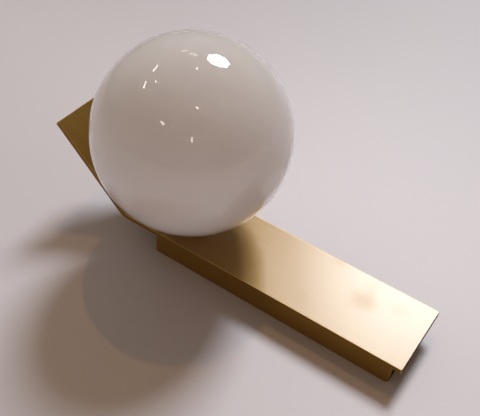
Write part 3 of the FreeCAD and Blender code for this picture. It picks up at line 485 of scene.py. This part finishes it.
def slot_materials(record):
    """One material for each material slot of the record."""
    colours = {row["slot"]: row["base_color"] for row in record["materials"]}
    return {
        "brushed_brass": brushed_brass(),
        "brass_fittings": turned_metal("brass_fittings", colours["brass_fittings"], 0.28),
        "zinc_steel": plated_steel("zinc_steel", colours["zinc_steel"]),
        "steel_fasteners": turned_metal("steel_fasteners", colours["steel_fasteners"], 0.30),
        "tinned_copper": turned_metal("tinned_copper", colours["tinned_copper"], 0.24),
        "black_plastic": moulded("black_plastic", colours["black_plastic"], 0.55).material,
        "white_plastic": moulded("white_plastic", colours["white_plastic"], 0.42).material,
        "white_ceramic": white_ceramic(colours["white_ceramic"]),
        "lamp_core": lamp_core(colours["lamp_core"]),
        "clear_cover": clear_cover(colours["clear_cover"]),
        "clear_silicone": soft_skin("clear_silicone", colours["clear_silicone"], 0.45, 2 * MM),
        "opal_glass": opal_glass(colours["opal_glass"][:3]),
        "brown_sleeve": soft_skin("brown_sleeve", colours["brown_sleeve"], 0.42, 0.5 * MM),
        "blue_sleeve": soft_skin("blue_sleeve", colours["blue_sleeve"], 0.42, 0.5 * MM),
        "earth_sleeve": earth_sleeve(colours["earth_sleeve"]),
    }


def finish_nodes(frame, finishes):
    """Gives each CAD node the material of its slot."""
    for row in frame["record"]["subparts"]:
        node = frame["nodes"][row["node"]]
        node.data.materials.clear()
        node.data.materials.append(finishes[row["material_slot"]])


def shell_side(ball, neck, rim):
    """Half a section of a ball with a neck, as (along, radius) points from the neck's rim to the pole.

    Along runs away from the wall, from the ball's centre.
    """
    fillet = NECK_FILLET
    corner_radius = neck + fillet
    corner = -math.sqrt((ball + fillet) ** 2 - corner_radius ** 2)
    points = []
    for step in range(NECK_ROWS):
        points.append((rim + (corner - rim) * step / NECK_ROWS, neck))
    last = math.atan2(-corner_radius, -corner)
    for step in range(FILLET_ROWS + 1):
        angle = -math.pi / 2 + (last + math.pi / 2) * step / FILLET_ROWS
        points.append((corner + fillet * math.cos(angle), corner_radius + fillet * math.sin(angle)))
    first = math.atan2(corner_radius, -corner)
    for step in range(1, GLOBE_ROWS + 1):
        angle = first + (math.pi - first) * step / GLOBE_ROWS
        points.append((-ball * math.cos(angle), ball * math.sin(angle)))
    return points


def bead_height(turn, along, start):
    """How far the thread bead stands off the neck, at a share of the turn and a place along it."""
    offset = (along - start - THREAD_PITCH * turn) / BEAD_RADIUS
    if abs(offset) >= 1:
        return 0.0
    fade = min(1.0, turn / BEAD_FADE, (1 - turn) / BEAD_FADE)
    return BEAD_RADIUS * math.sqrt(1 - offset * offset) * fade


def globe_section(rim, radius):
    """The glass's section: its outside and its inside, each from rim to pole, and the round rim."""
    edge = GLASS_WALL / 2
    outside = shell_side(radius, NECK_RADIUS, rim + edge)
    inside = shell_side(radius - GLASS_WALL, NECK_RADIUS - GLASS_WALL, rim + edge)
    lip = []
    for step in range(1, LIP_ROWS):
        angle = math.pi * step / LIP_ROWS
        lip.append((rim + edge - edge * math.sin(angle),
                    NECK_RADIUS - edge - edge * math.cos(angle)))
    return outside, inside, lip


def opal_globe(finishes):
    """The glass ball, turned about its own axis, with its threaded neck and fire-polished rim."""
    centre, radius = globe_place()
    rim = centre.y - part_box("globe")[1].y
    outside, inside, lip = globe_section(rim, radius)
    bead_start = rim + BEAD_RADIUS
    shape = bmesh.new()

    def point(along, out, turn):
        angle = 2 * math.pi * turn
        return centre + Vector((out * math.cos(angle), -along, out * math.sin(angle)))

    def ring(along, out, beaded=False):
        made = []
        for segment in range(GLOBE_SEGMENTS):
            turn = segment / GLOBE_SEGMENTS
            height = bead_height(turn, along, bead_start) if beaded else 0.0
            made.append(shape.verts.new(point(along, out + height, turn)))
        return made

    rings = [ring(along, out, beaded=out == NECK_RADIUS) for along, out in outside[:-1]]
    front_pole = shape.verts.new(point(outside[-1][0], 0.0, 0.0))
    inner_rings = [ring(along, out) for along, out in inside[:-1]]
    inner_pole = shape.verts.new(point(inside[-1][0], 0.0, 0.0))
    lip_rings = [ring(along, out) for along, out in lip]
    chain = list(reversed(rings)) + list(reversed(lip_rings)) + inner_rings
    for first, second in zip(chain, chain[1:]):
        bridge(shape, first, second)
    fan(shape, front_pole, chain[0])
    fan(shape, inner_pole, chain[-1])
    bmesh.ops.recalc_face_normals(shape, faces=shape.faces)
    made = mesh_object("opal_globe", shape)
    made.data.materials.append(finishes["opal_glass"])
    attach(made, "globe")
    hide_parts("globe")


def bridge(shape, first, second):
    """A band of faces between two rings of the same count."""
    count = len(first)
    for here in range(count):
        after = (here + 1) % count
        shape.faces.new((first[here], first[after], second[after], second[here]))


def fan(shape, pole, ring):
    """Faces from a point to each side of a ring."""
    count = len(ring)
    for here in range(count):
        shape.faces.new((pole, ring[here], ring[(here + 1) % count]))


def wall_finish():
    """Matt pale board, with painted light and painted shade in its colour, which is clear when it is
    seen from behind.
    """
    finish = Finish("wall_board", roughness=0.60, specular_ior_level=1.0, coat_weight=0.5,
                    coat_roughness=0.55)
    place = finish.place()
    cloud = finish.noise(place, 5, detail=4)
    fibre = finish.noise(place, 700, detail=2)
    tone = finish.spread(cloud, *NOISE_LIMITS, 0.0, 1.0)
    board = finish.blend(tone, darker(WALL_COLOUR, 0.97), WALL_COLOUR)
    # Painted shade: the board is painted darker towards one side, down to a share of its colour.
    aside = finish.spread(finish.parts(place)[0], *WALL_PAINTED_SHADE_SPAN, 0.0, 1.0, smooth=True)
    painted_shade = finish.blend(aside, darker(WALL_COLOUR, WALL_PAINTED_SHADE_SHARE), board)
    # Painted light: far out along a slanting direction the board is painted lighter.
    painted_slant = finish.dot(place, WALL_PAINTED_LIGHT_SIDE)
    painted_light = finish.spread(painted_slant, *WALL_PAINTED_LIGHT_SPAN, 0.0, 1.0, smooth=True)
    # Painted shade: far out the other way along that direction the board is painted darker.
    painted_dark = finish.spread(painted_slant, *WALL_PAINTED_DARK_SPAN, 1.0, 0.0, smooth=True)
    with_painted_light = finish.blend(painted_light, painted_shade, WALL_PAINTED_LIGHT_COLOUR)
    finish.set("base color", finish.blend(painted_dark, with_painted_light, WALL_PAINTED_DARK_COLOUR))
    finish.bump(fibre, 0.03, 0.1 * MM)
    behind = finish.node("NewGeometry", {}, output="Backfacing")
    clear = finish.node("BsdfTransparent", {})
    either = finish.node("MixShader", {0: behind, 1: finish.shader.outputs[0], 2: clear})
    finish.feed_end("Material Output", "Surface", either)
    return finish.material


def wall():
    """The pale wall, with an opening under the open back of the wall box."""
    low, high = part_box("housing")
    inner = (low.x + OPENING_MARGIN, high.x - OPENING_MARGIN,
             low.z + OPENING_MARGIN, high.z - OPENING_MARGIN)
    outer = (-WALL_REACH, WALL_REACH, -WALL_REACH, WALL_REACH)
    shape = bmesh.new()
    loops = []
    for left, right, bottom, top in (outer, inner):
        corners = ((left, bottom), (right, bottom), (right, top), (left, top))
        loops.append([shape.verts.new((x, WALL_GAP, z)) for x, z in corners])
    bridge(shape, *loops)
    for face in shape.faces:
        face.normal_update()
        if face.normal.y > 0:
            face.normal_flip()
    made = mesh_object("wall_board", shape, smooth=False)
    made.data.materials.append(wall_finish())


def glowing(name, colour, strength):
    """A material that only gives light."""
    made = bpy.data.materials.new(name)
    nodes = Nodes(made)
    nodes.tree.nodes.remove(nodes.tree.nodes["Principled BSDF"])
    glow = nodes.node("Emission", {"Color": colour, "Strength": strength})
    nodes.feed_end("Material Output", "Surface", glow)
    return made


def turned_away(place, direction, turn=0.0):
    """A placement whose local z axis points along the direction, turned about it."""
    aim = direction.to_track_quat("Z", "Y").to_matrix().to_4x4()
    return Matrix.Translation(place) @ aim @ Matrix.Rotation(turn, 4, "Z")


def softbox(view):
    """The large softbox, placed where the globe mirrors it."""
    point, direction = seen_in_globe(view, SOFTBOX_PIXEL)
    shape = bmesh.new()
    corners = []
    for step in range(SOFTBOX_SIDES):
        angle = 2 * math.pi / SOFTBOX_SIDES * step
        corners.append(shape.verts.new((math.cos(angle), math.sin(angle), 0)))
    shape.faces.new(corners)
    bmesh.ops.scale(shape, vec=Vector((SOFTBOX_RADIUS,) * 3), verts=shape.verts)
    made = mesh_object("softbox", shape, smooth=False)
    made.data.materials.append(glowing("softbox_light", SOFTBOX_COLOUR, SOFTBOX_STRENGTH))
    made.matrix_world = turned_away(point + direction * SOFTBOX_AWAY, direction, SOFTBOX_TURN)
    made.visible_camera = False


def small_lamp(view):
    """The small warm lamp that draws the crisp shadow."""
    point, direction = seen_in_globe(view, SMALL_LAMP_PIXEL)
    data = bpy.data.lights.new("small_lamp", "AREA")
    data.shape = "DISK"
    data.size = 2 * SMALL_LAMP_RADIUS
    data.energy = SMALL_LAMP_POWER
    data.color = SMALL_LAMP_COLOUR
    made = link(bpy.data.objects.new("small_lamp", data))
    made.matrix_world = turned_away(point + direction * SMALL_LAMP_AWAY, direction)
    made.visible_camera = False
    made.visible_glossy = False


def glass_glow():
    """A faint lamp for the light that goes round inside the glass, past the renderer's bounces."""
    centre, _ = globe_place()
    data = bpy.data.lights.new("glass_glow", "POINT")
    data.shadow_soft_size = 2 * MM
    data.energy = GLOW_POWER
    data.color = GLOW_COLOUR
    made = link(bpy.data.objects.new("glass_glow", data))
    made.location = centre + GLOW_PLACE


def sparks(view):
    """Small lamps about the room, which the glass mirrors as sparks and the wall doesn't see."""
    for number, (first, last, strength) in enumerate(SPARKS):
        start, first_direction = seen_in_globe(view, first)
        end, last_direction = seen_in_globe(view, last)
        start += first_direction * SPARK_AWAY
        end += last_direction * SPARK_AWAY
        along = (end - start).normalized() * SPARK_WIDTH / 2
        start -= along
        end += along
        aside = along.cross(first_direction)
        shape = bmesh.new()
        corners = (start - aside, start + aside, end + aside, end - aside)
        shape.faces.new([shape.verts.new(corner) for corner in corners])
        made = mesh_object(f"spark_{number}", shape, smooth=False)
        colour = SPARK_COLOURS[number % len(SPARK_COLOURS)]
        made.data.materials.append(glowing(f"spark_light_{number}", colour, strength))
        made.visible_camera = False
        made.visible_diffuse = False
        made.visible_shadow = False


def room():
    """The room's own light: brown on the camera's side, paler below and at the back."""
    made = bpy.data.worlds.new("room")
    nodes = Nodes(made)
    where = nodes.node("TexCoord", {}, output="Generated")

    def towards(direction, fade):
        return nodes.spread(nodes.dot(where, direction.normalized()), *fade, 0.0, 1.0, smooth=True)

    front = nodes.blend(towards(ROOM_LIGHT_SIDE, ROOM_LIGHT_FADE), ROOM_DARK, ROOM_LIGHT)
    whole = nodes.blend(towards(ROOM_BEHIND_SIDE, ROOM_BEHIND_FADE), front, ROOM_BEHIND)
    seen = nodes.node("LightPath", {}, output="Is Camera Ray")
    nodes.feed_end("Background", "Color", nodes.blend(seen, whole, ROOM_SEEN))
    bpy.context.scene.world = made


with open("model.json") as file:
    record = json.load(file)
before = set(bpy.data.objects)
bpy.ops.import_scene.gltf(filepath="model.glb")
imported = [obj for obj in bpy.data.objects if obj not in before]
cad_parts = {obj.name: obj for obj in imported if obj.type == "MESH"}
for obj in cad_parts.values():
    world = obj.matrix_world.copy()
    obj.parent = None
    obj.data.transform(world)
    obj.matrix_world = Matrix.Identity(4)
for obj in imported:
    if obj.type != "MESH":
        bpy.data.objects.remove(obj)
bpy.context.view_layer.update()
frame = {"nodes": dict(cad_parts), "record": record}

photo_view = camera()
finishes = slot_materials(frame["record"])
finish_nodes(frame, finishes)
opal_globe(finishes)
wall()
softbox(photo_view)
small_lamp(photo_view)
glass_glow()
sparks(photo_view)
room()
bpy.context.scene.view_settings.view_transform = "Standard"
